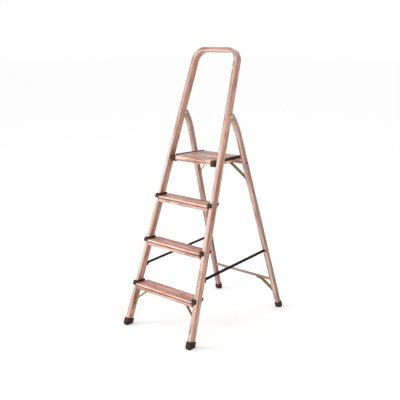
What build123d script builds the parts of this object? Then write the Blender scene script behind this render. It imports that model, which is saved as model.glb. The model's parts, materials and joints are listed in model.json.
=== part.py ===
from build123d import *
import math
import os

# Folding step ladder. Sizes are millimetres and degrees.
# +X is the right-hand stile, +Y the side of the rear legs, +Z is up.

# Front frame: one tube bent into an upturned U
frame_height = 1559.0
frame_lean = 17.86
frame_half_width = 256.0
frame_taper = 3.38
stile_width = 21.0
stile_depth = 46.0
stile_wall = 1.5
stile_corner = 5.0
stile_end = 24.0
bow_radius = 78.0

# Treads
tread_first = 244.0
tread_pitch = 245.0
tread_depth = 89.0
tread_nose = 11.0
tread_height = 31.0
tread_rear_height = 24.0
tread_skin = 2.5
tread_edge = 1.0
tread_lip = 4.0
groove_top = 9.0
groove_height = 7.0
groove_depth = 4.5

# Plastic clips at the tread ends
clip_plate = 6.0
clip_front = 13.0
clip_rear = 11.0
clip_rise = 11.0
clip_drop = 10.0
clip_nub = 14.0
clip_corner = 5.0
plug_length = 22.0
plug_height = 14.0
plug_gap = 1.2

# Rear legs
hinge_height = 1193.0
hinge_inset = 9.0
folded_gap = 12.0
leg_lean = 17.25
leg_taper = 3.25
leg_depth = 26.0
leg_wall = 1.4
leg_edge = 2.0
leg_end = 12.0
leg_bend_radius = 390.0
leg_bend_length = 127.0
hinge_side_gap = 0.8
hinge_notch_gap = 1.0

# Pins
pin_radius = 4.0
pin_fit = 0.05
hinge_head_radius = 8.0
hinge_head_height = 3.0
hinge_head_gap = 0.8

# Rails of the rear frame
rail_radius = 8.0
rail_bore = 2.6
lower_rail_height = 186.0
platform_rest_gap = 0.3

# Flat steel braces
brace_width = 20.0
brace_thickness = 2.5
brace_bend = 40.0
brace_foot = 24.0
step_brace_depth = 28.0
step_brace_low = 122.0
step_brace_high = 146.0
step_brace_reach = 116.0
upper_brace_low = 801.0
upper_brace_high = 831.0
upper_brace_reach = 101.0
lower_brace_low = 74.0
lower_brace_high = 111.0
lower_brace_reach = 80.0

# Rivets
rivet_head_radius = 4.5
rivet_head_height = 1.6
rivet_head_edge = 1.0
rivet_radius = 2.4
rivet_play = 0.1
rivet_tail = 4.0
rail_rivet_reach = 15.0

# Boots
boot_wall = 3.0
boot_sink = 1.5
boot_edge = 2.0
front_boot_height = 46.0
rear_boot_height = 40.0
boot_toe_radius = 12.0
boot_heel_radius = 5.0

# Safety straps
strap_width = 25.0
strap_thickness = 4.0
strap_bend = 4.0
strap_front_height = 345.0
strap_rear_height = 388.0
strap_front_tab = 15.0
strap_rear_tab = 15.0
strap_plate_height = 10.0
strap_plate_thickness = 1.5
strap_plate_drop = 9.0
strap_clip_width = 25.0
strap_clip_height = 10.0
strap_clip_thickness = 1.5
strap_clip_drop = 9.0

# Platform
platform_top = 960.0
platform_nose = -2.0
platform_depth = 246.0
board_side_gap = 13.5
board_narrowing = 17.0
board_height = 26.0
board_skin = 2.5
board_edge = 3.0
block_width = 34.0
block_depth = 38.0
block_height = 30.0
block_gap = 10.0
block_fall = 2.0
block_groove_height = 13.0
block_groove_depth = 2.5
block_nose = 1.0
boss_radius = 8.0
boss_gap = 0.8
platform_pin_back = 15.0
platform_pin_drop = 14.0
platform_pin_reach = 26.0
trim_rise = 2.5
trim_cover = 10.0
trim_drop = 13.0
trim_out = 2.5
trim_cap = 3.0
trim_cap_drop = 17.0

# Room given to cutting blocks so that they pass well through the pieces
room = 300.0


def sine(angle):
    return math.sin(math.radians(angle))


def cosine(angle):
    return math.cos(math.radians(angle))


def tangent(angle):
    return math.tan(math.radians(angle))


def across(plane, height):
    """Section plane of a tube: x across it, y towards the rear, z up the tube."""
    return Plane(origin=plane.from_local_coords((0, height, 0)), x_dir=plane.x_dir, z_dir=plane.y_dir)


def mirrored(solid):
    return mirror(solid, about=Plane.YZ)


def rivet(place, grip):
    """Round-headed rivet: the head stands on the plane, the shank goes down through the grip."""
    head = Pos(0, 0, rivet_head_height / 2) * Cylinder(rivet_head_radius, rivet_head_height)
    head = fillet(head.edges().sort_by(Axis.Z)[-1], rivet_head_edge)
    shank = Pos(0, 0, -grip / 2) * Cylinder(rivet_radius, grip)
    return place * (head + shank)


def rivet_hole(place, grip):
    depth = grip + rivet_tail
    return place * (Pos(0, 0, -depth / 2) * Cylinder(rivet_radius + rivet_play, depth))


def bar_along_x(radius, left, right, y, z):
    return Pos((left + right) / 2, y, z) * Rot(0, 90, 0) * Cylinder(radius, right - left)


# Planes of the front frame: local y runs up the frame, local z faces forwards
front = Plane(origin=(0, 0, 0), x_dir=(1, 0, 0), z_dir=(0, -cosine(frame_lean), sine(frame_lean)))


def front_line(height):
    """Half width of the stiles' centre lines at a height measured up the frame."""
    return frame_half_width - stile_width / 2 / cosine(frame_taper) - height * tangent(frame_taper)


stile = Plane(
    origin=front.from_local_coords((front_line(0), 0, 0)),
    x_dir=front.x_dir * cosine(frame_taper) + front.y_dir * sine(frame_taper),
    z_dir=front.z_dir,
)


def up_stile(height, depth):
    """Distance up the frame of a point at a height over the floor and a depth behind its front."""
    return (height + depth * sine(frame_lean)) / cosine(frame_lean)


def stile_inner(height, depth):
    """X of the right stile's inner face at a height over the floor and a depth behind its front."""
    return front_line(up_stile(height, depth)) - stile_width / 2 / cosine(frame_taper)


# Planes of the rear frame, its origin on the hinge axis
hinge_depth = stile_depth - hinge_inset
hinge_run = up_stile(hinge_height, hinge_depth)
hinge_x = front_line(hinge_run)
hinge_y = hinge_run * sine(frame_lean) + hinge_depth * cosine(frame_lean)
fold_angle = frame_lean + leg_lean
leg_width = stile_width + 2 * (hinge_side_gap + leg_wall)
leg_setback = hinge_inset + folded_gap
leg_middle = leg_setback + leg_depth / 2

rear = Plane(
    origin=(0, hinge_y, hinge_height),
    x_dir=(1, 0, 0),
    z_dir=(0, -cosine(leg_lean), -sine(leg_lean)),
)
leg = Plane(
    origin=rear.from_local_coords((hinge_x, 0, 0)),
    x_dir=rear.x_dir * cosine(leg_taper) + rear.y_dir * sine(leg_taper),
    z_dir=rear.z_dir,
)


def up_leg(height, setback):
    """Distance up the rear frame from the hinge of a point at a height over the floor."""
    return (height - hinge_height - setback * sine(leg_lean)) / cosine(leg_lean)


def leg_inner(run):
    """X of the right leg's inner face at a distance up the rear frame."""
    return hinge_x - run * tangent(leg_taper) - leg_width / 2 / cosine(leg_taper)


def stile_face(height, off):
    """Plane on the right stile's rear face, looking rearwards."""
    run = up_stile(height, stile_depth) / cosine(frame_taper)
    point = stile.from_local_coords((0, run, -stile_depth - off))
    return Plane(origin=point, x_dir=stile.x_dir, z_dir=-stile.z_dir)


def leg_face(height, off):
    """Plane on the right leg's front face, looking forwards."""
    run = up_leg(height, leg_setback) / cosine(leg_taper)
    point = leg.from_local_coords((0, run, -leg_setback + off))
    return Plane(origin=point, x_dir=leg.x_dir, z_dir=leg.z_dir)


nodes = {}
holes_in_tube = []
holes_in_leg = []

# Front frame tube
bow_line = frame_height / cosine(frame_lean) - stile_width / 2
tube_corners = [
    (front_line(stile_end), stile_end),
    (front_line(bow_line), bow_line),
    (-front_line(bow_line), bow_line),
    (-front_line(stile_end), stile_end),
]
bow_line_radius = bow_radius - stile_width / 2
tube_path = front.offset(-stile_depth / 2) * FilletPolyline(*tube_corners, radius=bow_line_radius)
tube_start = Plane(origin=tube_path @ 0, x_dir=front.z_dir, z_dir=tube_path % 0)
tube_outside = RectangleRounded(stile_depth, stile_width, stile_corner)
tube_inside = RectangleRounded(
    stile_depth - 2 * stile_wall, stile_width - 2 * stile_wall, stile_corner - stile_wall
)
tube = sweep(tube_start * tube_outside, path=tube_path) - sweep(tube_start * tube_inside, path=tube_path)


# Treads and their clips
def tread(top):
    nose = top * tangent(frame_lean) - tread_nose
    back = nose + tread_depth
    wall = groove_depth + tread_skin
    corners = [
        (nose, top),
        (back, top),
        (back, top - tread_rear_height),
        (back - tread_skin, top - tread_rear_height),
        (back - tread_skin, top - tread_skin),
        (nose + wall, top - tread_skin),
        (nose + wall, top - tread_height),
        (nose, top - tread_height),
        (nose, top - groove_top - groove_height),
        (nose + groove_depth, top - groove_top - groove_height),
        (nose + groove_depth, top - groove_top),
        (nose, top - groove_top),
    ]
    radii = [tread_lip] + [tread_edge for corner in corners[1:]]
    outline = FilletPolyline(*corners, radius=radii, close=True)
    bar = extrude(make_face(Plane.YZ * outline), amount=frame_half_width, both=True)
    end = -stile_width / 2 - clip_plate + room / 2
    cutter = stile * (Pos(end, up_stile(top, 0), 0) * Box(room, room, room))
    return bar - cutter - mirrored(cutter)


def upright(section, middle, height):
    """Stretch of a clip's section along the stile, cut level above and below."""
    slab = Pos(0, 0, middle) * Box(4 * room, 4 * room, height)
    return extrude(section, amount=room / 2, both=True) & slab


def tread_clip(top):
    level = across(stile, up_stile(top, 0))
    length = stile_depth + clip_front + clip_rear
    middle = (stile_depth + clip_rear - clip_front) / 2
    wrap = Pos(-clip_plate / 2, middle) * RectangleRounded(stile_width + clip_plate, length, clip_corner)
    wrap -= Pos(stile_width / 2, stile_depth / 2) * Rectangle(2 * stile_width, stile_depth)
    plate = Pos(-(stile_width + clip_plate) / 2, stile_depth / 2) * Rectangle(clip_plate, stile_depth)
    front_hook = wrap & (Pos(0, (stile_depth - room) / 2) * Rectangle(room, room))
    rear_hook = wrap & (Pos(0, (stile_depth + room) / 2) * Rectangle(room, room))
    hook_middle = top + (clip_rise - clip_drop) / 2
    plate_height = tread_height + clip_rise
    plate_middle = top + clip_rise - plate_height / 2
    body = upright(level * front_hook, hook_middle, clip_rise + clip_drop)
    body += upright(level * rear_hook, hook_middle, clip_nub)
    body += upright(level * plate, plate_middle, plate_height)
    # The plug fills the tread's hollow end, under its top
    plug_front = top * tangent(frame_lean) - tread_nose + groove_depth + tread_skin + plug_gap
    plug_back = top * tangent(frame_lean) - tread_nose + tread_depth - tread_skin - plug_gap
    inside = stile_inner(top, 0) - clip_plate - plug_length
    outside = stile_inner(top, 0) - clip_plate / 2
    plug_top = top - tread_skin
    plug = Pos(
        (inside + outside) / 2, (plug_front + plug_back) / 2, plug_top - plug_height / 2
    ) * Box(outside - inside, plug_back - plug_front, plug_height)
    keep_middle = -stile_width / 2 - clip_plate - room / 2
    keep = stile * (Pos(keep_middle, up_stile(top, 0), 0) * Box(room, room, room))
    return body + (plug & keep)


tread_names = ["lower", "middle", "upper"]
for index, name in enumerate(tread_names):
    tread_top = tread_first + index * tread_pitch
    nodes["tread_" + name] = tread(tread_top)
    nodes["tread_clip_" + name + "_right"] = tread_clip(tread_top)
    nodes["tread_clip_" + name + "_left"] = mirrored(nodes["tread_clip_" + name + "_right"])


# Boots: the sole lies on the floor, its sharp corner is rounded
def boot(plane, width, depth, corner, tube_end, height):
    """Boot on a tube end. Local x of the plane runs from the sharp corner's side across the tube's depth."""
    slope = -plane.x_dir.Z / plane.y_dir.Z
    outline = make_face(
        Polyline(
            (-boot_wall, -boot_wall * slope - boot_sink),
            (depth + boot_wall, (depth + boot_wall) * slope - boot_sink),
            (depth + boot_wall, height),
            (-boot_wall, height),
            close=True,
        )
    )
    outline = fillet(outline.vertices().sort_by(Axis.Y)[0], boot_toe_radius)
    outline = fillet(outline.vertices().group_by(Axis.X)[-1].sort_by(Axis.Y)[0], boot_heel_radius)
    body = extrude(outline, amount=width / 2 + boot_wall, both=True)
    flanks = body.faces().filter_by(Plane.XY)
    body = plane * fillet(flanks.edges(), boot_edge)
    body -= Pos(0, 0, -room / 2) * Box(8 * room, 8 * room, room)
    section = Plane(origin=plane.from_local_coords((0, tube_end, 0)), x_dir=plane.z_dir, z_dir=plane.y_dir)
    pocket = Pos(0, depth / 2) * RectangleRounded(width, depth, corner)
    pocket = extrude(section * pocket, amount=room)
    return body - pocket


front_boot_side = Plane(origin=stile.origin, x_dir=-stile.z_dir, z_dir=stile.x_dir)
tube_end_run = (tube_path @ 0 - stile.origin).dot(stile.y_dir)
nodes["front_boot_right"] = boot(
    front_boot_side, stile_width, stile_depth, stile_corner, tube_end_run, front_boot_height
)
nodes["front_boot_left"] = mirrored(nodes["front_boot_right"])

# Bottom-step braces, bent flat steel from the stile up to the tread's underside
brace_plane = front.offset(-step_brace_depth)


def step_brace_x(height):
    return stile_inner(height, step_brace_depth) - brace_thickness / 2 / cosine(frame_taper)


step_foot_top = tread_first - tread_skin
step_foot_bottom = step_foot_top - brace_thickness
step_strip_top = step_foot_bottom - brace_width / 2 * sine(frame_lean)
step_brace_inboard = stile_inner(step_foot_top, step_brace_depth) - step_brace_reach
step_brace_points = [
    (step_brace_x(step_brace_low), up_stile(step_brace_low, step_brace_depth)),
    (step_brace_x(step_brace_high), up_stile(step_brace_high, step_brace_depth)),
    (step_brace_inboard + brace_foot / 2, up_stile(step_strip_top, step_brace_depth)),
]
step_brace_path = brace_plane * FilletPolyline(*step_brace_points, radius=brace_bend)
step_brace_start = Plane(origin=step_brace_path @ 0, x_dir=front.z_dir, z_dir=step_brace_path % 0)
step_brace = sweep(step_brace_start * Rectangle(brace_width, brace_thickness), path=step_brace_path)
step_foot_place = Plane(origin=step_brace_path @ 0, x_dir=front.z_dir, z_dir=stile.x_dir)
step_brace += step_foot_place * Cylinder(brace_width / 2, brace_thickness)
step_foot_y = brace_plane.from_local_coords((0, up_stile(step_foot_top, step_brace_depth), 0)).Y
step_brace += Pos(
    step_brace_inboard + brace_thickness, step_foot_y, (step_foot_top + step_foot_bottom) / 2
) * Box(brace_foot + 2 * brace_thickness, brace_width, brace_thickness)
step_side_place = Plane(
    origin=stile.from_local_coords(
        (-stile_width / 2 - brace_thickness, up_stile(step_brace_low, step_brace_depth), -step_brace_depth)
    ),
    x_dir=stile.y_dir,
    z_dir=-stile.x_dir,
)
step_tread_point = (step_brace_inboard, step_foot_y, tread_first)
step_tread_place = Plane(origin=step_tread_point, x_dir=(1, 0, 0), z_dir=(0, 0, 1))
step_side_grip = brace_thickness + stile_wall + rivet_tail
step_tread_grip = tread_skin + brace_thickness + rivet_tail
step_side_hole = rivet_hole(step_side_place, step_side_grip)
step_tread_hole = rivet_hole(step_tread_place, step_tread_grip)
nodes["step_brace_right"] = step_brace - step_side_hole - step_tread_hole
nodes["step_brace_left"] = mirrored(nodes["step_brace_right"])
nodes["tread_lower"] = nodes["tread_lower"] - step_tread_hole - mirrored(step_tread_hole)
holes_in_tube.append(step_side_hole)
step_rivets = [rivet(step_side_place, step_side_grip), rivet(step_tread_place, step_tread_grip)]
nodes["step_brace_rivets"] = Compound(children=step_rivets + [mirrored(one) for one in step_rivets])


# Rear legs: a tube bent forwards at the top, its sides straddling the stile
def leg_band(inset, bottom):
    """Side outline of the leg, drawn rearwards and up from the hinge, with its walls moved in."""
    inner = leg_setback + inset
    outer = leg_setback + leg_depth - inset
    centre = leg_middle - leg_bend_radius
    turn = math.degrees(leg_bend_length / leg_bend_radius)
    front_arc = CenterArc((centre, -leg_bend_length), inner - centre, 0, turn)
    rear_arc = CenterArc((centre, -leg_bend_length), outer - centre, 0, turn)
    edges = [
        Line((inner, bottom), front_arc @ 0),
        front_arc,
        Line(front_arc @ 1, rear_arc @ 1),
        rear_arc,
        Line(rear_arc @ 0, (outer, bottom)),
        Line((outer, bottom), (inner, bottom)),
    ]
    return make_face(edges)


leg_floor = up_leg(0, leg_middle) / cosine(leg_taper)
leg_bottom = leg_floor + leg_end
leg_side = Plane(origin=leg.origin, x_dir=-leg.z_dir, z_dir=leg.x_dir)
leg_turn = leg_bend_length / leg_bend_radius
leg_top_x = leg_middle - leg_bend_radius * (1 - math.cos(leg_turn))
leg_top_y = -leg_bend_length + leg_bend_radius * math.sin(leg_turn)
ear_length = math.hypot(leg_top_x, leg_top_y)
ear = Pos(leg_top_x / 2, leg_top_y / 2) * Rot(0, 0, math.degrees(math.atan2(leg_top_y, leg_top_x)))
leg_outline = leg_band(0, leg_bottom) + ear * SlotCenterToCenter(ear_length, leg_depth)
notch_edge = hinge_inset + hinge_notch_gap
notch_top = 2 * leg_depth


def leg_notch(edge):
    """Room for the stile at the leg's top, from the stile's side back to an edge behind the hinge."""
    turn = edge * (cosine(fold_angle) - 1) / sine(fold_angle)
    return make_face(
        Polyline(
            (-notch_top, -leg_bend_length),
            (edge, -leg_bend_length),
            (edge, turn),
            ((edge + notch_top * sine(fold_angle)) / cosine(fold_angle), notch_top),
            (-notch_top, notch_top),
            close=True,
        )
    )


# The front wall is pressed in behind the stile, so the hollow starts a wall's thickness behind the notch
leg_hollow = leg_band(leg_wall, leg_bottom - leg_end)
leg_hollow += Pos(leg_top_x, leg_top_y) * Circle(leg_depth / 2 - leg_wall)
leg_hollow -= leg_notch(notch_edge + leg_wall)
rear_leg = extrude(leg_outline, amount=leg_width / 2, both=True)
leg_flanks = rear_leg.faces().filter_by(Plane.XY)
rear_leg = fillet(leg_flanks.edges(), leg_edge)
rear_leg -= extrude(leg_hollow, amount=leg_width / 2 - leg_wall, both=True)
rear_leg -= extrude(leg_notch(notch_edge), amount=leg_width / 2 - leg_wall, both=True)
rear_leg = leg_side * rear_leg
hinge_reach = leg_width / 2 / cosine(leg_taper) + hinge_head_gap
bore_radius = pin_radius + pin_fit
hinge_hole = bar_along_x(bore_radius, hinge_x - leg_width, hinge_x + leg_width, hinge_y, hinge_height)
rear_leg -= hinge_hole
holes_in_tube.append(hinge_hole)
hinge_pin = bar_along_x(pin_radius, hinge_x - hinge_reach, hinge_x + hinge_reach, hinge_y, hinge_height)
hinge_tip = hinge_reach + hinge_head_height
for near, far, rim in ((-hinge_tip, -hinge_reach, 0), (hinge_reach, hinge_tip, -1)):
    head = bar_along_x(hinge_head_radius, hinge_x + near, hinge_x + far, hinge_y, hinge_height)
    hinge_pin += fillet(head.edges().sort_by(Axis.X)[rim], hinge_head_height / 2)
nodes["hinge_pins"] = Compound(children=[hinge_pin, mirrored(hinge_pin)])

# Rear boots, the sharp corner at the rear
leg_back = leg_setback + leg_depth
rear_boot_run = up_leg(0, leg_back) / cosine(leg_taper)
rear_boot_side = Plane(
    origin=leg.from_local_coords((0, rear_boot_run, -leg_back)), x_dir=leg.z_dir, z_dir=-leg.x_dir
)
nodes["rear_boot_right"] = boot(
    rear_boot_side, leg_width, leg_depth, leg_edge, leg_bottom - rear_boot_run, rear_boot_height
)
nodes["rear_boot_left"] = mirrored(nodes["rear_boot_right"])


# Rails between the legs, each held by a rivet through both legs
def rail(height):
    run = up_leg(height, leg_middle)
    place = rear.from_local_coords((0, run, -leg_middle))
    bar = bar_along_x(rail_radius, -hinge_x - room, hinge_x + room, place.Y, place.Z)
    bar -= bar_along_x(rail_bore, -hinge_x - room, hinge_x + room, place.Y, place.Z)
    cutter = leg * (Pos(-leg_width / 2 + room, run, -leg_middle) * Box(2 * room, room, room))
    return bar - cutter - mirrored(cutter)


def rail_rivet_place(height):
    run = up_leg(height, leg_middle) / cosine(leg_taper)
    point = leg.from_local_coords((leg_width / 2, run, -leg_middle))
    return Plane(origin=(point.X, point.Y, point.Z), x_dir=leg.y_dir, z_dir=leg.x_dir)


upper_rail_height = platform_top - board_height - platform_rest_gap - rail_radius
rail_grip = leg_width + rail_rivet_reach
rail_rivets = []
for name, height in (("upper", upper_rail_height), ("lower", lower_rail_height)):
    place = rail_rivet_place(height)
    hole = rivet_hole(place, rail_grip)
    nodes[name + "_rail"] = rail(height) - hole - mirrored(hole)
    holes_in_leg.append(hole)
    rail_rivets.append(rivet(place, rail_grip))
nodes["rail_rivets"] = Compound(children=rail_rivets + [mirrored(one) for one in rail_rivets])

# Knee braces of the rear frame, from the legs to the undersides of the rails
knee_plane = rear.offset(-leg_middle)
knee_rivets = []


def knee_brace(low, high, reach, rail_height):
    runs = [up_leg(low, leg_middle), up_leg(high, leg_middle)]
    under = up_leg(rail_height, leg_middle) - rail_radius - brace_thickness / 2
    inboard = leg_inner(runs[1]) - reach
    points = [(leg_inner(run) - brace_thickness / 2 / cosine(leg_taper), run) for run in runs]
    points += [(inboard, under), (inboard - brace_foot, under)]
    path = knee_plane * FilletPolyline(*points, radius=brace_bend)
    start = Plane(origin=path @ 0, x_dir=rear.z_dir, z_dir=path % 0)
    body = sweep(start * Rectangle(brace_width, brace_thickness), path=path)
    foot = Plane(origin=path @ 0, x_dir=rear.z_dir, z_dir=leg.x_dir)
    end = Plane(origin=path @ 1, x_dir=rear.z_dir, z_dir=rear.y_dir)
    body += foot * Cylinder(brace_width / 2, brace_thickness)
    body += end * Cylinder(brace_width / 2, brace_thickness)
    foot_place = Plane(
        origin=(path @ 0) - leg.x_dir * (brace_thickness / 2), x_dir=leg.y_dir, z_dir=-leg.x_dir
    )
    end_place = Plane(
        origin=(path @ 1) - rear.y_dir * (brace_thickness / 2), x_dir=rear.x_dir, z_dir=-rear.y_dir
    )
    foot_grip = brace_thickness + leg_wall + rivet_tail
    end_grip = brace_thickness + rail_radius
    foot_hole = rivet_hole(foot_place, foot_grip)
    end_hole = rivet_hole(end_place, end_grip)
    knee_rivets.append(rivet(foot_place, foot_grip))
    knee_rivets.append(rivet(end_place, end_grip))
    holes_in_leg.append(foot_hole)
    return body - foot_hole - end_hole, end_hole


for name, low, high, reach, height in (
    ("upper", upper_brace_low, upper_brace_high, upper_brace_reach, upper_rail_height),
    ("lower", lower_brace_low, lower_brace_high, lower_brace_reach, lower_rail_height),
):
    brace, end_hole = knee_brace(low, high, reach, height)
    nodes[name + "_brace_right"] = brace
    nodes[name + "_brace_left"] = mirrored(brace)
    nodes[name + "_rail"] = nodes[name + "_rail"] - end_hole - mirrored(end_hole)
nodes["knee_brace_rivets"] = Compound(children=knee_rivets + [mirrored(one) for one in knee_rivets])

# Safety straps between the stiles' rear faces and the legs' front faces
half_strap = strap_thickness / 2
strap_front = stile_face(strap_front_height, half_strap).origin
strap_rear = leg_face(strap_rear_height, half_strap).origin
strap_x = (strap_front.X + strap_rear.X) / 2
strap_front_end = strap_front - front.y_dir * strap_front_tab
strap_rear_end = strap_rear - rear.y_dir * strap_rear_tab
strap_corners = (strap_front_end, strap_front, strap_rear, strap_rear_end)
strap_points = [(point.Y, point.Z) for point in strap_corners]
strap_path = Pos(strap_x, 0, 0) * (Plane.YZ * FilletPolyline(*strap_points, radius=strap_bend))
strap_start = Plane(origin=strap_path @ 0, x_dir=(1, 0, 0), z_dir=strap_path % 0)
strap = sweep(strap_start * Rectangle(strap_width, strap_thickness), path=strap_path)
plate_place = stile_face(strap_front_height - strap_plate_drop, strap_thickness)
plate_top = plate_place.offset(strap_plate_thickness)
plate = plate_place * (
    Pos(0, 0, strap_plate_thickness / 2) * Box(strap_width, strap_plate_height, strap_plate_thickness)
)
plate_grip = strap_plate_thickness + strap_thickness + stile_wall + rivet_tail
plate_hole = rivet_hole(plate_top, plate_grip)
plate -= plate_hole
holes_in_tube.append(plate_hole)
plate_rivet = rivet(plate_top, plate_grip)
clip_place = leg_face(strap_rear_height - strap_clip_drop, strap_thickness)
clip_top = clip_place.offset(strap_clip_thickness)
clip_body = clip_place * (
    Pos(0, 0, strap_clip_thickness / 2) * Box(strap_clip_width, strap_clip_height, strap_clip_thickness)
)
clip_grip = strap_clip_thickness + strap_thickness + leg_wall + rivet_tail
clip_hole = rivet_hole(clip_top, clip_grip)
holes_in_leg.append(clip_hole)
clip_rivet = rivet(clip_top, clip_grip)
strap = strap - plate_hole - clip_hole
nodes["strap_right"] = strap
nodes["strap_left"] = mirrored(strap)
nodes["strap_plate_right"] = plate
nodes["strap_plate_left"] = mirrored(plate)
nodes["strap_plate_rivets"] = Compound(children=[plate_rivet, mirrored(plate_rivet)])
nodes["strap_clip_right"] = clip_body - clip_hole
nodes["strap_clip_left"] = mirrored(nodes["strap_clip_right"])
nodes["strap_clip_rivets"] = Compound(children=[clip_rivet, mirrored(clip_rivet)])

# Platform board: a tray with its front corners left to the plastic blocks
board_front = platform_top * tangent(frame_lean) - platform_nose
board_back = board_front + platform_depth
board_step = board_front + block_depth
platform_y = board_front + platform_pin_back
platform_z = platform_top - platform_pin_drop
pin_depth = (platform_y - platform_z * tangent(frame_lean)) * cosine(frame_lean)
block_top = platform_top - block_fall
block_bottom = block_top - block_height
block_out = stile_inner(block_top, pin_depth) - block_gap
board_front_half = block_out - block_width
board_half = stile_inner(platform_top, pin_depth) - board_side_gap
board_rear_half = board_half - board_narrowing
board_plan = make_face(
    Polyline(
        (board_front_half, board_front),
        (board_front_half, board_step),
        (board_half, board_step),
        (board_rear_half, board_back),
        (-board_rear_half, board_back),
        (-board_half, board_step),
        (-board_front_half, board_step),
        (-board_front_half, board_front),
        close=True,
    )
)
board_under = platform_top - board_height
board = extrude(Pos(0, 0, board_under) * board_plan, amount=board_height)
board = fillet(board.edges().filter_by(Axis.X).group_by(Axis.Y)[0].sort_by(Axis.Z)[-1], board_edge)
board_hollow = offset(board_plan, amount=-board_skin, kind=Kind.INTERSECTION)
board -= extrude(Pos(0, 0, board_under) * board_hollow, amount=board_height - board_skin)
nodes["platform_board"] = board

# Platform ends: corner block on the pivot pin, side trim and rear cap in one moulding
boss_out = stile_inner(platform_z + boss_radius, pin_depth) - boss_gap
block_front = board_front - block_nose
block = Pos(
    (board_front_half + block_out) / 2, (block_front + board_step) / 2, (block_top + block_bottom) / 2
) * Box(block_out - board_front_half, board_step - block_front, block_height)
block -= Pos(
    (board_front_half + block_out) / 2, block_front, (block_top + block_bottom) / 2
) * Box(block_out - board_front_half, 2 * block_groove_depth, block_groove_height)
block += bar_along_x(boss_radius, block_out - boss_radius, boss_out, platform_y, platform_z)
trim_cover_plan = make_face(
    Polyline(
        (board_half - trim_cover, board_step),
        (board_half + trim_out, board_step),
        (board_rear_half + trim_out, board_back),
        (board_rear_half - trim_cover, board_back),
        close=True,
    )
)
trim_side_plan = make_face(
    Polyline(
        (board_half, board_step),
        (board_half + trim_out, board_step),
        (board_rear_half + trim_out, board_back),
        (board_rear_half, board_back),
        close=True,
    )
)
trim = extrude(Pos(0, 0, platform_top) * trim_cover_plan, amount=trim_rise)
trim += extrude(Pos(0, 0, platform_top - trim_drop) * trim_side_plan, amount=trim_drop + trim_rise)
cap_top = platform_top + trim_rise
cap_bottom = platform_top - trim_cap_drop
trim += Pos(
    board_rear_half + (trim_out - trim_cover) / 2, board_back + trim_cap / 2, (cap_top + cap_bottom) / 2
) * Box(trim_cover + trim_out, trim_cap, cap_top - cap_bottom)
platform_end = block + trim
platform_pin_in = block_out - platform_pin_reach
platform_pin_out = stile_inner(platform_z, pin_depth) + stile_width - stile_wall
platform_bore_in = platform_pin_in - pin_radius
platform_end -= bar_along_x(bore_radius, platform_bore_in, platform_pin_out, platform_y, platform_z)
pin_bore = bar_along_x(bore_radius, platform_pin_in, platform_pin_out, platform_y, platform_z)
platform_pin = bar_along_x(pin_radius, platform_pin_in, platform_pin_out, platform_y, platform_z)
holes_in_tube.append(pin_bore)
nodes["platform_end_right"] = platform_end
nodes["platform_end_left"] = mirrored(platform_end)
nodes["platform_pins"] = Compound(children=[platform_pin, mirrored(platform_pin)])

# Drill the tubes for the pins and rivets
for hole in holes_in_tube:
    tube = tube - hole - mirrored(hole)
for hole in holes_in_leg:
    rear_leg -= hole
nodes["front_frame_tube"] = tube
nodes["rear_leg_right"] = rear_leg
nodes["rear_leg_left"] = mirrored(rear_leg)

# The frame's origin is the middle of the ground the ladder stands on
boxes = [node.bounding_box() for node in nodes.values()]
shift_y = -(min(box.min.Y for box in boxes) + max(box.max.Y for box in boxes)) / 2

os.makedirs("parts", exist_ok=True)
for name, node in nodes.items():
    export_step(Pos(0, shift_y, 0) * node, "parts/" + name + ".step")
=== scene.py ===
import json
import math

import bmesh
import bpy
from mathutils import Matrix, Vector


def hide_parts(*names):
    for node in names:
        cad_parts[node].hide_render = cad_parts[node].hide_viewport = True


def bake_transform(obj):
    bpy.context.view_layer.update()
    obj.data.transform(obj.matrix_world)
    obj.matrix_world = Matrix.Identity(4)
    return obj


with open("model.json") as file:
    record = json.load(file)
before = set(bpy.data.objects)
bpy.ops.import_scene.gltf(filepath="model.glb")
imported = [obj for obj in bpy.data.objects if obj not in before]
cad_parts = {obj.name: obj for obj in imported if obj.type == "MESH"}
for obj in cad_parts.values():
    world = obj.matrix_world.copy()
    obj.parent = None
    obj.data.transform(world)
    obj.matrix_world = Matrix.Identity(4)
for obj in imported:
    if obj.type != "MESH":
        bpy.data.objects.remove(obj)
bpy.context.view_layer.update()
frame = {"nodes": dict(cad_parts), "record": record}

MM = 0.001
cad = frame["nodes"]

# The ladder's own lines, repeated from its source. The plane of the front frame meets the floor at
# Y = GROUND_SHIFT and leans back from there.
GROUND_SHIFT = -421.556 * MM
FRAME_LEAN = math.radians(17.86)
FRAME_TAPER = math.radians(3.38)
# The middle line of the bent tube: its top up that plane, its half width there, and its bend
BOW_LINE = 1627.43 * MM
BOW_HALF = 149.36 * MM
BOW_RADIUS = 67.5 * MM
# The right rear leg hangs from its hinge. Its middle lies LEG_MIDDLE behind the hinge, and bends forwards
# from LEG_BEND_LENGTH below it.
HINGE = Vector((170.75, 1.73, 1193.0)) * MM
LEG_LEAN = math.radians(17.25)
LEG_TAPER = math.radians(3.25)
LEG_DEPTH = 26.0 * MM
LEG_MIDDLE = 34.0 * MM
LEG_BEND_RADIUS = 390.0 * MM
LEG_BEND_LENGTH = 127.0 * MM
# The top of the lowest tread, the step to the next, and the groove in a tread's front, below its top
TREAD_FIRST = 244.0 * MM
TREAD_PITCH = 245.0 * MM
GROOVE_TOP = 9.0 * MM
GROOVE_HEIGHT = 7.0 * MM

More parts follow.
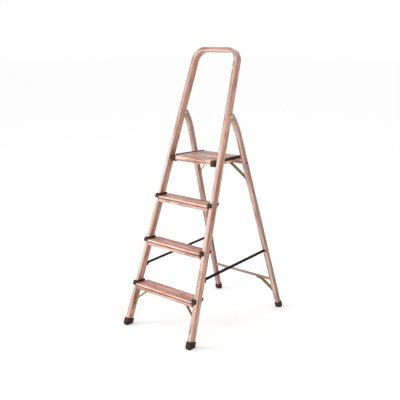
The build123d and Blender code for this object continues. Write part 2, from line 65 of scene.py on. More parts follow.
# The right strap's corners, on the stile and on the leg that carry it
STRAP_X = 221.09 * MM
STRAP_FRONT_END = Vector((STRAP_X, -266.66 * MM, 330.72 * MM))
STRAP_FRONT = Vector((STRAP_X, -262.06 * MM, 345.0 * MM))
STRAP_REAR = Vector((STRAP_X, 273.68 * MM, 388.0 * MM))
STRAP_REAR_END = Vector((STRAP_X, 278.12 * MM, 373.68 * MM))
STRAP_WIDTH = 25.0 * MM
STRAP_THICKNESS = 4.0 * MM
STRAP_BEND = 4.0 * MM
STRAP_SELVAGE = 0.3 * STRAP_THICKNESS
STRAP_CUTS = 11

# Sockets of a colour Mix node go by number, because its kinds share their names
FACTOR = 0
FIRST = 6
SECOND = 7
MIXED = 2


def linear(colour):
    """Linear RGBA of an sRGB hex colour."""
    parts = [int(colour[at:at + 2], 16) / 255 for at in (1, 3, 5)]
    return tuple(p / 12.92 if p <= 0.04045 else ((p + 0.055) / 1.055) ** 2.4 for p in parts) + (1.0,)


def fill(tree, node, inputs):
    """Fills a node's inputs, by socket name or number, with values or with links."""
    for socket, value in inputs.items():
        if isinstance(value, bpy.types.NodeSocket):
            tree.links.new(value, node.inputs[socket])
        else:
            node.inputs[socket].default_value = value


def add(tree, kind, inputs=None, **settings):
    """Adds a node. Settings are its properties, and inputs are as in fill."""
    node = tree.nodes.new(kind)
    for name, value in settings.items():
        setattr(node, name, value)
    fill(tree, node, inputs or {})
    return node


def start_material(name):
    """A material with its shader and output, and nothing else."""
    material = bpy.data.materials.new(name)
    material.use_nodes = True
    tree = material.node_tree
    tree.nodes.clear()
    shader = add(tree, "ShaderNodeBsdfPrincipled")
    add(tree, "ShaderNodeOutputMaterial", {"Surface": shader.outputs["BSDF"]})
    return material, tree, shader


# Directions of the grain: each gives a vector (across, through, along) in metres
def along_tube(tree, place):
    """Down both stiles and round the bow, in the plane of the front frame."""
    flat = add(tree, "ShaderNodeMapping", {
        "Vector": place,
        "Location": (0.0, GROUND_SHIFT, 0.0),
        "Rotation": (math.pi / 2 - FRAME_LEAN, 0.0, 0.0),
    }, vector_type="TEXTURE")
    part = add(tree, "ShaderNodeSeparateXYZ", {"Vector": flat.outputs["Vector"]})
    side = add(tree, "ShaderNodeMath", {0: part.outputs["X"]}, operation="ABSOLUTE")
    below = add(tree, "ShaderNodeMath", {0: BOW_LINE, 1: part.outputs["Y"]}, operation="SUBTRACT")
    # The taper taken out, both stiles are upright, and a quarter circle joins each to the bow
    upright = add(tree, "ShaderNodeMath", {
        0: below.outputs[0], 1: -math.tan(FRAME_TAPER), 2: side.outputs[0],
    }, operation="MULTIPLY_ADD")
    from_side = add(tree, "ShaderNodeMath", {
        0: upright.outputs[0], 1: BOW_HALF - BOW_RADIUS,
    }, operation="SUBTRACT")
    from_top = add(tree, "ShaderNodeMath", {
        0: BOW_RADIUS, 1: below.outputs[0],
    }, operation="SUBTRACT")
    corner = add(tree, "ShaderNodeCombineXYZ", {
        "X": from_side.outputs[0], "Y": from_top.outputs[0],
    })
    spoke = add(tree, "ShaderNodeVectorMath", {0: corner.outputs["Vector"]}, operation="MAXIMUM")
    reach = add(tree, "ShaderNodeVectorMath", {0: spoke.outputs["Vector"]}, operation="LENGTH")
    across = add(tree, "ShaderNodeMath", {
        0: reach.outputs["Value"], 1: BOW_RADIUS,
    }, operation="SUBTRACT")
    sunk = add(tree, "ShaderNodeMath", {0: below.outputs[0], 1: across.outputs[0]})
    run = add(tree, "ShaderNodeMath", {0: sunk.outputs[0], 1: side.outputs[0]})
    hand = add(tree, "ShaderNodeMath", {0: part.outputs["X"]}, operation="SIGN")
    along = add(tree, "ShaderNodeMath", {0: run.outputs[0], 1: hand.outputs[0]}, operation="MULTIPLY")
    return add(tree, "ShaderNodeCombineXYZ", {
        "X": across.outputs[0], "Y": part.outputs["Z"], "Z": along.outputs[0],
    }).outputs["Vector"]


# The right leg's film is cut so many metres up the roll and the left one's down it, so that they differ
LEG_FILM_CUT = 3.0


def along_leg(tree, place):
    """Up a rear leg and round the bend at its top."""
    part = add(tree, "ShaderNodeSeparateXYZ", {"Vector": place})
    side = add(tree, "ShaderNodeMath", {0: part.outputs["X"]}, operation="ABSOLUTE")
    right = add(tree, "ShaderNodeCombineXYZ", {
        "X": side.outputs[0], "Y": part.outputs["Y"], "Z": part.outputs["Z"],
    })
    lean = Matrix.Rotation(math.pi / 2 + LEG_LEAN, 3, "X")
    turn = lean @ Matrix.Rotation(LEG_TAPER, 3, "Z")
    flat = add(tree, "ShaderNodeMapping", {
        "Vector": right.outputs["Vector"], "Location": HINGE, "Rotation": turn.to_euler(),
    }, vector_type="TEXTURE")
    local = add(tree, "ShaderNodeSeparateXYZ", {"Vector": flat.outputs["Vector"]})
    # Distance behind the middle of the bend: round it in the bend, and straight back below that
    behind = add(tree, "ShaderNodeMath", {
        0: LEG_BEND_RADIUS - LEG_MIDDLE, 1: local.outputs["Z"],
    }, operation="SUBTRACT")
    above = add(tree, "ShaderNodeMath", {0: local.outputs["Y"], 1: LEG_BEND_LENGTH})
    bent = add(tree, "ShaderNodeMath", {0: above.outputs[0], 1: 0.0}, operation="MAXIMUM")
    spoke = add(tree, "ShaderNodeCombineXYZ", {"X": behind.outputs[0], "Y": bent.outputs[0]})
    reach = add(tree, "ShaderNodeVectorMath", {0: spoke.outputs["Vector"]}, operation="LENGTH")
    hand = add(tree, "ShaderNodeMath", {0: part.outputs["X"]}, operation="SIGN")
    along = add(tree, "ShaderNodeMath", {
        0: hand.outputs[0], 1: LEG_FILM_CUT, 2: local.outputs["Y"],
    }, operation="MULTIPLY_ADD")
    return add(tree, "ShaderNodeCombineXYZ", {
        "X": local.outputs["X"], "Y": reach.outputs["Value"], "Z": along.outputs[0],
    }).outputs["Vector"]


def along_width(tree, place):
    """From side to side, as on the treads, the board and the rails."""
    part = add(tree, "ShaderNodeSeparateXYZ", {"Vector": place})
    return add(tree, "ShaderNodeCombineXYZ", {
        "X": part.outputs["Y"], "Y": part.outputs["Z"], "Z": part.outputs["X"],
    }).outputs["Vector"]


# The film's print. Lengths are in millimetres, and widths in widths of its streaks.
BROAD_WIDTH = 3.6
BROAD_LENGTH = 420
BROAD_SHARE = 0.7
STREAK_LENGTH = 190
FIBRE_WIDTH = 0.3
FIBRE_LENGTH = 70
FIBRE_SHARE = 0.4
FLAME_WIDTH = 1.3
FLAME_LENGTH = 110
# About half of the places for a knot hold one. They stand about twice as far apart along the grain as
# across it, and the grain swerves round a knot by up to KNOT_SWERVE.
KNOT_CHANCE = 0.5
KNOT_CROWDING = 0.45
KNOT_SWERVE = 9 * MM


def streaks(tree, run, width, length, detail):
    """Noise drawn out along the grain, its streaks of a width and length in millimetres."""
    drawn = add(tree, "ShaderNodeVectorMath", {
        0: run, 1: (1 / (width * MM), 1 / (width * MM), 1 / (length * MM)),
    }, operation="MULTIPLY")
    return add(tree, "ShaderNodeTexNoise", {
        "Vector": drawn.outputs["Vector"], "Scale": 1.0, "Detail": detail, "Roughness": 0.6,
    }).outputs["Fac"]


def knots(tree, run, spacing):
    """Mask of knots, at a spacing in millimetres across the grain, and the grain swerving round them."""
    per_metre = 1 / (spacing * MM)
    knot_place = add(tree, "ShaderNodeVectorMath", {
        0: run, 1: (per_metre, per_metre, KNOT_CROWDING * per_metre),
    }, operation="MULTIPLY")
    cells = add(tree, "ShaderNodeTexVoronoi", {"Vector": knot_place.outputs["Vector"], "Scale": 1.0})
    chance = add(tree, "ShaderNodeSeparateColor", {"Color": cells.outputs["Color"]})
    chosen = add(tree, "ShaderNodeMath", {
        0: chance.outputs["Red"], 1: KNOT_CHANCE,
    }, operation="GREATER_THAN")
    core = add(tree, "ShaderNodeMapRange", {
        "Value": cells.outputs["Distance"],
        "From Min": 0.06, "From Max": 0.2, "To Min": 0.95, "To Max": 0.0,
    }, interpolation_type="SMOOTHSTEP")
    swerve = add(tree, "ShaderNodeMapRange", {
        "Value": cells.outputs["Distance"],
        "From Min": 0.08, "From Max": 0.45, "To Min": KNOT_SWERVE, "To Max": 0.0,
    }, interpolation_type="SMOOTHSTEP")
    mask = add(tree, "ShaderNodeMath", {
        0: core.outputs[0], 1: chosen.outputs[0],
    }, operation="MULTIPLY")
    aside = add(tree, "ShaderNodeMath", {
        0: swerve.outputs[0], 1: chosen.outputs[0],
    }, operation="MULTIPLY")
    swerved = add(tree, "ShaderNodeVectorMath", {0: run, 1: aside.outputs[0]})
    return mask.outputs[0], swerved.outputs["Vector"]


def tread_masks(tree, place):
    """Masks of the treads' front grooves, front lips and tops, by height and by place at the nose."""
    nose_depth = 30 * MM
    top_height = GROOVE_TOP + GROOVE_HEIGHT
    part = add(tree, "ShaderNodeSeparateXYZ", {"Vector": place})
    # Height over the lower edge of a tread's groove
    over_first = add(tree, "ShaderNodeMath", {
        0: part.outputs["Z"], 1: TREAD_FIRST - top_height,
    }, operation="SUBTRACT")
    height = add(tree, "ShaderNodeMath", {
        0: over_first.outputs[0], 1: TREAD_PITCH,
    }, operation="FLOORED_MODULO").outputs[0]
    in_groove = add(tree, "ShaderNodeMath", {0: height, 1: GROOVE_HEIGHT}, operation="LESS_THAN")
    behind_nose = add(tree, "ShaderNodeMath", {
        0: part.outputs["Z"], 1: -math.tan(FRAME_LEAN), 2: part.outputs["Y"],
    }, operation="MULTIPLY_ADD")
    near = add(tree, "ShaderNodeMath", {
        0: behind_nose.outputs[0], 1: GROUND_SHIFT + nose_depth,
    }, operation="LESS_THAN")
    groove = add(tree, "ShaderNodeMath", {
        0: in_groove.outputs[0], 1: near.outputs[0],
    }, operation="MULTIPLY")
    # Nothing of a tread lies above its top, and the next tread starts well over it
    at_top = add(tree, "ShaderNodeMapRange", {
        "Value": height, "From Min": top_height - 0.8 * MM, "From Max": top_height - 0.1 * MM,
    }, interpolation_type="SMOOTHSTEP")
    below_next = add(tree, "ShaderNodeMath", {0: height, 1: TREAD_PITCH / 2}, operation="LESS_THAN")
    top = add(tree, "ShaderNodeMath", {
        0: at_top.outputs[0], 1: below_next.outputs[0],
    }, operation="MULTIPLY")
    over_groove = add(tree, "ShaderNodeMath", {0: height, 1: GROOVE_HEIGHT}, operation="GREATER_THAN")
    edge = add(tree, "ShaderNodeMath", {
        0: over_groove.outputs[0], 1: at_top.outputs[0],
    }, operation="SUBTRACT")
    lip = add(tree, "ShaderNodeMath", {
        0: edge.outputs[0], 1: below_next.outputs[0],
    }, operation="MULTIPLY")
    return groove.outputs[0], lip.outputs[0], top.outputs[0]


# Colours laid over the print on one kind of piece, mostly painted light and shade: each takes the film's
# own sockets and its colour so far
def tread_shade(tree, film, colour):
    """Painted shade in the front grooves, a painted highlight on the lips, and a redder, darker painted
    shade on top.
    """
    groove, lip, top = tread_masks(tree, film["place"])
    # Painted shade: the grooves are mixed towards dark red-brown, more so along the print's streaks
    lined = add(tree, "ShaderNodeMapRange", {
        "Value": film["streak"], "From Min": 0.3, "From Max": 0.7, "To Min": 0.75, "To Max": 1.0,
    })
    sunk = add(tree, "ShaderNodeMath", {0: groove, 1: lined.outputs[0]}, operation="MULTIPLY")
    groove_shaded = add(tree, "ShaderNodeMix", {
        FACTOR: sunk.outputs[0], FIRST: colour, SECOND: linear("#74371F"),
    }, data_type="RGBA")
    # Painted highlight: the front lips are mixed towards pale pink
    painted_highlight = add(tree, "ShaderNodeMath", {0: lip, 1: 0.35}, operation="MULTIPLY")
    lip_highlighted = add(tree, "ShaderNodeMix", {
        FACTOR: painted_highlight.outputs[0], FIRST: groove_shaded.outputs[MIXED], SECOND: linear("#F4D0C0"),
    }, data_type="RGBA")
    # Painted shade: the top is tinted redder and a little darker than the front
    top_front_shade = add(tree, "ShaderNodeMix", {
        FACTOR: top, FIRST: linear("#F5FAFF"), SECOND: linear("#FFF4F1"),
    }, data_type="RGBA")
    return add(tree, "ShaderNodeMix", {
        FACTOR: 1.0, FIRST: lip_highlighted.outputs[MIXED], SECOND: top_front_shade.outputs[MIXED],
    }, data_type="RGBA", blend_type="MULTIPLY").outputs[MIXED]


def tube_shade(tree, film, colour):
    """A painted highlight: the tube's sides are pale along its front corners, beside its front face."""
    forwards = add(tree, "ShaderNodeSeparateXYZ", {"Vector": film["run"]}).outputs["Y"]
    beside = add(tree, "ShaderNodeMapRange", {
        "Value": forwards, "From Min": -6.5 * MM, "From Max": -3.5 * MM, "To Max": 0.55,
    }, interpolation_type="SMOOTHSTEP")
    behind = add(tree, "ShaderNodeMapRange", {
        "Value": forwards, "From Min": -0.6 * MM, "From Max": -0.1 * MM, "To Min": 1.0, "To Max": 0.0,
    }, interpolation_type="SMOOTHSTEP")
    # Painted highlight: pale mixed into the sides next to the front corners
    painted_highlight = add(tree, "ShaderNodeMath", {
        0: beside.outputs[0], 1: behind.outputs[0],
    }, operation="MULTIPLY")
    return add(tree, "ShaderNodeMix", {
        FACTOR: painted_highlight.outputs[0], FIRST: colour, SECOND: linear("#F1C9B7"),
    }, data_type="RGBA").outputs[MIXED]


def leg_shade(tree, film, colour):
    """Painted shade darkens a leg's sides against its front, and the left leg darkens towards its foot.
    """
    front_face = LEG_BEND_RADIUS - LEG_DEPTH / 2
    reach = add(tree, "ShaderNodeSeparateXYZ", {"Vector": film["run"]}).outputs["Y"]
    # Painted shade: the sides, behind the front face, are multiplied darker
    behind = add(tree, "ShaderNodeMapRange", {
        "Value": reach, "From Min": front_face + 0.6 * MM, "From Max": front_face + 3 * MM,
    }, interpolation_type="SMOOTHSTEP")
    sides_shaded = add(tree, "ShaderNodeMix", {
        FACTOR: behind.outputs[0], FIRST: colour, SECOND: linear("#D8DADA"),
    }, data_type="RGBA", blend_type="MULTIPLY")
    # The left leg grows darker and redder towards its foot
    part = add(tree, "ShaderNodeSeparateXYZ", {"Vector": film["place"]})
    left = add(tree, "ShaderNodeMath", {0: part.outputs["X"], 1: 0.0}, operation="LESS_THAN")
    low = add(tree, "ShaderNodeMapRange", {
        "Value": part.outputs["Z"],
        "From Min": 0.25, "From Max": 1.0, "To Min": 1.0, "To Max": 0.0,
    })
    left_low = add(tree, "ShaderNodeMath", {
        0: left.outputs[0], 1: low.outputs[0],
    }, operation="MULTIPLY")
    return add(tree, "ShaderNodeMix", {
        FACTOR: left_low.outputs[0], FIRST: sides_shaded.outputs[MIXED], SECOND: linear("#DCD4D1"),
    }, data_type="RGBA", blend_type="MULTIPLY").outputs[MIXED]


# Wood-look film: a printed knotty grain under a satin lacquer, baked on to an aluminium section.
# It has the streaks and red heartwood of the print, and the even sheen of the lacquer over all of it.
def wood_film(name, grain, light, dark, red, roughness, streak, knot_spacing, cut=0.0, shade=None):
    """Streaks and the spacing of knots are in millimetres, and cut is so many metres along the roll."""
    material, tree, shader = start_material(name)
    place = add(tree, "ShaderNodeTexCoord").outputs["Object"]
    run = add(tree, "ShaderNodeVectorMath", {
        0: grain(tree, place), 1: (0.0, 0.0, cut),
    }).outputs["Vector"]
    knot, swerved = knots(tree, run, knot_spacing)
    # Broad tone, the streaks proper and fine fibre, added up
    broad = streaks(tree, run, BROAD_WIDTH * streak, BROAD_LENGTH, detail=2.0)
    middle = streaks(tree, swerved, streak, STREAK_LENGTH, detail=3.0)
    fibre = streaks(tree, swerved, FIBRE_WIDTH * streak, FIBRE_LENGTH, detail=2.0)
    toned = add(tree, "ShaderNodeMath", {0: broad, 1: BROAD_SHARE, 2: middle}, operation="MULTIPLY_ADD")
    fibred = add(tree, "ShaderNodeMath", {
        0: fibre, 1: FIBRE_SHARE, 2: toned.outputs[0],
    }, operation="MULTIPLY_ADD").outputs[0]
    depth = add(tree, "ShaderNodeMapRange", {"Value": fibred, "From Min": 0.87, "From Max": 1.23})
    wood = add(tree, "ShaderNodeMix", {
        FACTOR: depth.outputs[0], FIRST: linear(light), SECOND: linear(dark),
    }, data_type="RGBA")
    # Red heartwood, in flames a little wider than the streaks and in the knots
    flame = add(tree, "ShaderNodeMapRange", {
        "Value": streaks(tree, swerved, FLAME_WIDTH * streak, FLAME_LENGTH, detail=2.0),
        "From Min": 0.53, "From Max": 0.68, "To Max": 0.85,
    }, interpolation_type="SMOOTHSTEP")
    heart = add(tree, "ShaderNodeMath", {0: flame.outputs[0], 1: knot}, operation="MAXIMUM")
    colour = add(tree, "ShaderNodeMix", {
        FACTOR: heart.outputs[0], FIRST: wood.outputs[MIXED], SECOND: linear(red),
    }, data_type="RGBA").outputs[MIXED]
    # Painted light and shade, with other tones, for the kind of piece that has some
    if shade:
        colour = shade(tree, {"place": place, "run": run, "streak": middle}, colour)
    gloss = add(tree, "ShaderNodeMapRange", {
        "Value": fibre, "To Min": roughness - 0.06, "To Max": roughness + 0.06,
    })
    bump = add(tree, "ShaderNodeBump", {"Height": fibred, "Strength": 0.12, "Distance": 0.2 * MM})
    fill(tree, shader, {
        "Base Color": colour,
        "Roughness": gloss.outputs[0],
        "Normal": bump.outputs["Normal"],
        "IOR": 1.5,
    })
    return material


tube_film = wood_film(
    "wood_film_on_bent_tube", along_tube, light="#CFA895", dark="#825344", red="#804738",
    roughness=0.32, streak=7, knot_spacing=48, cut=4.1, shade=tube_shade,
)
leg_film = wood_film(
    "wood_film_on_leg_tube", along_leg, light="#CCAA99", dark="#896555", red="#865443",
    roughness=0.38, streak=7, knot_spacing=48, cut=0.8, shade=leg_shade,
)
tread_film = wood_film(
    "wood_film_on_tread", along_width, light="#E0B4A1", dark="#945E4B", red="#92412F",
    roughness=0.42, streak=11, knot_spacing=34, cut=3.7, shade=tread_shade,
)
board_film = wood_film(
    "wood_film_on_board", along_width, light="#F1CDBB", dark="#87533F", red="#8A4130",
    roughness=0.44, streak=16, knot_spacing=46, cut=4.4,
)
rail_film = wood_film(
    "wood_film_on_rail", along_width, light="#B2947D", dark="#7A5E4A", red="#744E3C",
    roughness=0.42, streak=7, knot_spacing=40,
)


# Dark brown polypropylene, moulded in a tool with a fine spark-eroded grain: it has a soft dull sheen
def brown_polypropylene():
    material, tree, shader = start_material("moulded_brown_polypropylene")
    place = add(tree, "ShaderNodeTexCoord").outputs["Object"]
    clouds = add(tree, "ShaderNodeTexNoise", {
        "Vector": place, "Scale": 1 / (14 * MM), "Detail": 4.0,
    })
    # The real grit is 0.3 mm; it is drawn at 0.8 mm so that it shows
    grit = add(tree, "ShaderNodeTexNoise", {
        "Vector": place, "Scale": 1 / (0.8 * MM), "Detail": 2.0,
    }).outputs["Fac"]
    colour = add(tree, "ShaderNodeMix", {
        FACTOR: clouds.outputs["Fac"], FIRST: linear("#221811"), SECOND: linear("#453529"),
    }, data_type="RGBA")
    gloss = add(tree, "ShaderNodeMapRange", {"Value": grit, "To Min": 0.5, "To Max": 0.75})
    bump = add(tree, "ShaderNodeBump", {"Height": grit, "Strength": 0.25, "Distance": 0.1 * MM})
    fill(tree, shader, {
        "Base Color": colour.outputs[MIXED],
        "Roughness": gloss.outputs[0],
        "Normal": bump.outputs["Normal"],
        "IOR": 1.49,
        "Specular IOR Level": 0.12,
    })
    return material


# Zinc passivated yellow on flat steel: a dull metal whose thin film drifts from straw to olive
def yellow_zinc():
    material, tree, shader = start_material("yellow_passivated_zinc")
    place = add(tree, "ShaderNodeTexCoord").outputs["Object"]
    drift = add(tree, "ShaderNodeTexNoise", {
        "Vector": place, "Scale": 1 / (18 * MM), "Detail": 3.0, "Distortion": 0.6,
    })
    fine = add(tree, "ShaderNodeTexNoise", {
        "Vector": place, "Scale": 1 / (1.5 * MM), "Detail": 3.0,
    })
    colour = add(tree, "ShaderNodeMix", {
        FACTOR: drift.outputs["Fac"], FIRST: linear("#AB9B68"), SECOND: linear("#635739"),
    }, data_type="RGBA")
    gloss = add(tree, "ShaderNodeMapRange", {
        "Value": fine.outputs["Fac"], "To Min": 0.35, "To Max": 0.6,
    })
    fill(tree, shader, {
        "Base Color": colour.outputs[MIXED],
        "Roughness": gloss.outputs[0],
        "Metallic": 0.8,
    })
    return material


# Clear zinc on pressed steel: pale grey metal with a soft spangle
def clear_zinc():
    material, tree, shader = start_material("clear_zinc_plate")
    place = add(tree, "ShaderNodeTexCoord").outputs["Object"]
    spangle = add(tree, "ShaderNodeTexVoronoi", {"Vector": place, "Scale": 1 / (3 * MM)})
    chance = add(tree, "ShaderNodeSeparateColor", {"Color": spangle.outputs["Color"]})
    colour = add(tree, "ShaderNodeMix", {
        FACTOR: chance.outputs["Red"], FIRST: linear("#A9A89A"), SECOND: linear("#C6C4B6"),
    }, data_type="RGBA")
    gloss = add(tree, "ShaderNodeMapRange", {
        "Value": chance.outputs["Green"], "To Min": 0.32, "To Max": 0.48,
    })
    fill(tree, shader, {
        "Base Color": colour.outputs[MIXED],
        "Roughness": gloss.outputs[0],
        "Metallic": 1.0,
    })
    return material


# Set rivets: satin metal, scuffed by the setting tool
def set_rivet(name, light, dark):
    material, tree, shader = start_material(name)
    place = add(tree, "ShaderNodeTexCoord").outputs["Object"]
    scuff = add(tree, "ShaderNodeTexNoise", {
        "Vector": place, "Scale": 1 / (1.2 * MM), "Detail": 4.0,
    }).outputs["Fac"]
    colour = add(tree, "ShaderNodeMix", {
        FACTOR: scuff, FIRST: linear(dark), SECOND: linear(light),
    }, data_type="RGBA")
    gloss = add(tree, "ShaderNodeMapRange", {"Value": scuff, "To Min": 0.3, "To Max": 0.55})
    fill(tree, shader, {
        "Base Color": colour.outputs[MIXED],
        "Roughness": gloss.outputs[0],
        "Metallic": 0.9,
    })
    return material


# Black polyester webbing: warp ribs along the strap, crossed by the weft, with a dull nap
def black_webbing():
    warp_spacing = 1.5 * MM
    weft_spacing = 1.2 * MM
    material, tree, shader = start_material("woven_black_polyester")
    place = add(tree, "ShaderNodeUVMap", uv_map="weave").outputs["UV"]
    threads = add(tree, "ShaderNodeVectorMath", {
        0: place, 1: (2 * math.pi / warp_spacing, 2 * math.pi / weft_spacing, 0.0),
    }, operation="MULTIPLY")
    part = add(tree, "ShaderNodeSeparateXYZ", {"Vector": threads.outputs["Vector"]})
    warp = add(tree, "ShaderNodeMath", {0: part.outputs["X"]}, operation="SINE")
    weft = add(tree, "ShaderNodeMath", {0: part.outputs["Y"]}, operation="SINE")
    weave = add(tree, "ShaderNodeMath", {
        0: warp.outputs[0], 1: weft.outputs[0],
    }, operation="MULTIPLY")
    height = add(tree, "ShaderNodeMapRange", {
        "Value": weave.outputs[0], "From Min": -1.0, "From Max": 1.0,
    }).outputs[0]
    colour = add(tree, "ShaderNodeMix", {
        FACTOR: height, FIRST: linear("#070707"), SECOND: linear("#161616"),
    }, data_type="RGBA")
    gloss = add(tree, "ShaderNodeMapRange", {"Value": height, "To Min": 0.9, "To Max": 0.7})
    bump = add(tree, "ShaderNodeBump", {"Height": height, "Strength": 0.5, "Distance": 0.3 * MM})
    fill(tree, shader, {
        "Base Color": colour.outputs[MIXED],
        "Roughness": gloss.outputs[0],
        "Normal": bump.outputs["Normal"],
        "Specular IOR Level": 0.12,
    })
    return material


brown_plastic = brown_polypropylene()
yellow_steel = yellow_zinc()
plate_steel = clear_zinc()
pale_rivet = set_rivet("set_aluminium_rivet", light="#DCCEC0", dark="#B8A797")
# Dark rivets for the step braces and the rails
dark_rivet = set_rivet("set_dark_steel_rivet", light="#5A483D", dark="#3A2C24")
webbing = black_webbing()

# Finish of each CAD node: by its material slot, or its own where one slot covers several films
slot_finishes = {
    "tube_wood_look": tube_film,
    "tread_wood_look": tread_film,
    "rail_wood_look": rail_film,
    "brown_plastic": brown_plastic,
    "black_webbing": webbing,
    "yellow_steel": yellow_steel,
    "zinc_steel": plate_steel,
    "rivet_metal": pale_rivet,
}
node_finishes = {
    "rear_leg_right": leg_film,
    "rear_leg_left": leg_film,
    "platform_board": board_film,
    "step_brace_rivets": dark_rivet,
    "rail_rivets": dark_rivet,
}
for subpart in frame["record"]["subparts"]:
    node = subpart["node"]
    mesh = cad[node].data
    mesh.materials.clear()
    mesh.materials.append(node_finishes.get(node, slot_finishes[subpart["material_slot"]]))


# Straps: flat webbing, each in five lengths
def strap_length(name, side, corners):
    """A length of webbing: a line of corners drawn out to its width, bent, and thickened downwards."""
    bm = bmesh.new()
    near_edge = Vector((-STRAP_WIDTH / 2, 0, 0))
    line = [bm.verts.new(corner + near_edge) for corner in corners]
    runs = [bm.edges.new(pair) for pair in zip(line, line[1:])]
    drawn = bmesh.ops.extrude_edge_only(bm, edges=runs)["geom"]
    far_edge = [item for item in drawn if isinstance(item, bmesh.types.BMVert)]
    bmesh.ops.translate(bm, verts=far_edge, vec=(STRAP_WIDTH, 0, 0))
    folds = [edge for edge in bm.edges if len(edge.link_faces) == 2]
    if folds:
        bmesh.ops.bevel(
            bm, geom=folds, offset=STRAP_BEND, offset_type="OFFSET", affect="EDGES",
            segments=3, profile=0.5, material=-1,
        )
    run = (STRAP_REAR - STRAP_FRONT).normalized()
    lengthwise = [
        edge for edge in bm.edges
        if abs((edge.verts[0].co - edge.verts[1].co).normalized().dot(run)) > 0.99
    ]
    bmesh.ops.subdivide_edges(bm, edges=lengthwise, cuts=STRAP_CUTS, use_grid_fill=True)
    bmesh.ops.recalc_face_normals(bm, faces=bm.faces)
    if sum(face.normal.z for face in bm.faces) > 0:
        bmesh.ops.reverse_faces(bm, faces=bm.faces)
    bmesh.ops.solidify(bm, geom=bm.faces[:], thickness=-STRAP_THICKNESS)
    bmesh.ops.recalc_face_normals(bm, faces=bm.faces)
    # Selvages: the edges between a side of the strap and its flat faces
    selvages = [
        edge for edge in bm.edges
        if sorted(round(abs(face.normal.x)) for face in edge.link_faces) == [0, 1]
    ]
    bmesh.ops.bevel(
        bm, geom=selvages, offset=STRAP_SELVAGE, offset_type="OFFSET", affect="EDGES",
        segments=2, profile=0.5, material=-1,
    )
    weave = bm.loops.layers.uv.new("weave")
    for face in bm.faces:
        for loop in face.loops:
            place = loop.vert.co
            along = (place - STRAP_FRONT).dot(run)
            loop[weave].uv = (place.x - STRAP_X, along - place.z)
    if side < 0:
        bmesh.ops.scale(bm, vec=(-1, 1, 1), verts=bm.verts)
        bmesh.ops.reverse_faces(bm, faces=bm.faces)
    mesh = bpy.data.meshes.new(name)
    bm.to_mesh(mesh)
    bm.free()
    mesh.materials.append(webbing)
    piece = bpy.data.objects.new(name, mesh)
    bpy.context.scene.collection.objects.link(piece)
    return piece


def on_strap(share):
    """A point on the taut run: 0 at the stile, 1 at the leg."""
    return STRAP_FRONT.lerp(STRAP_REAR, share)


# Where the lengths meet along the run
strap_lengths = ("front", "front_run", "middle_run", "rear_run", "rear")
strap_meets = (0.0, 0.08, 0.3, 0.7, 0.92, 1.0)
for hand, side in (("right", 1), ("left", -1)):
    for length, low, high in zip(strap_lengths, strap_meets, strap_meets[1:]):
        corners = [on_strap(low), on_strap(high)]
        if low == 0.0:
            corners.insert(0, STRAP_FRONT_END)
        if high == 1.0:
            corners.append(STRAP_REAR_END)
        piece = strap_length("strap_" + hand + "_" + length, side, corners)
        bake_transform(piece)
        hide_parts("strap_" + hand)


# Matt white floor paint: it glows a little, so that the floor is as white as the studio
def floor_paint():
    material, tree, shader = start_material("white_studio_floor_paint")
    place = add(tree, "ShaderNodeTexCoord").outputs["Object"]
    # Three clouds of tone to the metre
    mottle = add(tree, "ShaderNodeTexNoise", {"Vector": place, "Scale": 3.0})
    colour = add(tree, "ShaderNodeMix", {
        FACTOR: mottle.outputs["Fac"], FIRST: linear("#FAFAFA"), SECOND: linear("#FCFCFC"),
    }, data_type="RGBA")
    fill(tree, shader, {
        "Base Color": colour.outputs[MIXED],
        "Roughness": 0.9,
        "Specular IOR Level": 0.0,
        "Emission Color": linear("#FFFFFF"),
        "Emission Strength": 0.12,
    })
    return material


# Floor, world and lights of a plain white studio
floor_bm = bmesh.new()
bmesh.ops.create_circle(floor_bm, cap_ends=True, segments=96, radius=60.0)
floor_mesh = bpy.data.meshes.new("floor")
floor_bm.to_mesh(floor_mesh)
floor_bm.free()
floor_mesh.materials.append(floor_paint())
floor = bpy.data.objects.new("floor", floor_mesh)
bpy.context.scene.collection.objects.link(floor)

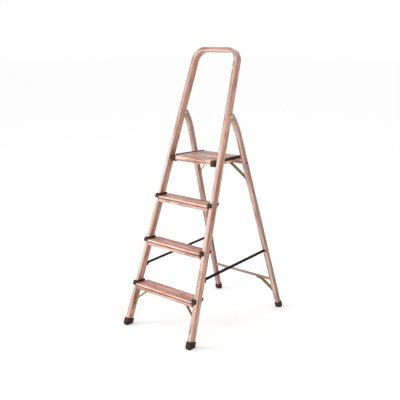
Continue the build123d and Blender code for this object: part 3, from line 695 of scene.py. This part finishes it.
# The studio is white, and a little dimmer above and towards the ladder's right
world = bpy.data.worlds.new("white_studio")
world.use_nodes = True
sky = world.node_tree
sky_direction = add(sky, "ShaderNodeTexCoord").outputs["Generated"]
sky_part = add(sky, "ShaderNodeSeparateXYZ", {"Vector": sky_direction})
sky_right = add(sky, "ShaderNodeMapRange", {
    "Value": sky_part.outputs["X"],
    "From Min": -0.3, "From Max": 1.0, "To Min": 0.0, "To Max": 0.38,
})
sky_above = add(sky, "ShaderNodeMapRange", {
    "Value": sky_part.outputs["Z"], "From Min": 0.1, "From Max": 0.3,
}, interpolation_type="SMOOTHSTEP")
sky_dim = add(sky, "ShaderNodeMath", {
    0: sky_right.outputs[0], 1: sky_above.outputs[0],
}, operation="MULTIPLY")
sky_light = add(sky, "ShaderNodeMath", {0: 1.0, 1: sky_dim.outputs[0]}, operation="SUBTRACT")
fill(sky, sky.nodes["Background"], {"Color": linear("#FFFFFF"), "Strength": sky_light.outputs[0]})
bpy.context.scene.world = world


def soft_box(name, place, aim, width, power):
    """A round soft box of a width in metres and a power in watts, turned towards a point."""
    light = bpy.data.lights.new(name, "AREA")
    light.shape = "DISK"
    light.size = width
    light.energy = power
    lamp = bpy.data.objects.new(name, light)
    lamp.location = place
    lamp.rotation_euler = (Vector(aim) - Vector(place)).to_track_quat("-Z", "Y").to_euler()
    bpy.context.scene.collection.objects.link(lamp)


soft_box("key_soft_box", place=(-2.9, -3.2, 1.6), aim=(0.0, 0.0, 0.75), width=2.0, power=95.0)
soft_box("front_soft_box", place=(0.9, -3.9, 0.7), aim=(0.0, 0.0, 0.6), width=1.1, power=50.0)

# Camera at the photograph's viewing angle
camera_data = bpy.data.cameras.new("camera")
camera_data.lens = 61.61
camera_data.sensor_width = 36.0
camera = bpy.data.objects.new("camera", camera_data)
camera.location = (2.5365, -2.849, 1.5947)
camera.rotation_euler = (math.radians(76.846), 0.0, math.radians(42.168))
bpy.context.scene.collection.objects.link(camera)
bpy.context.scene.camera = camera
bpy.context.scene.view_settings.view_transform = "Standard"
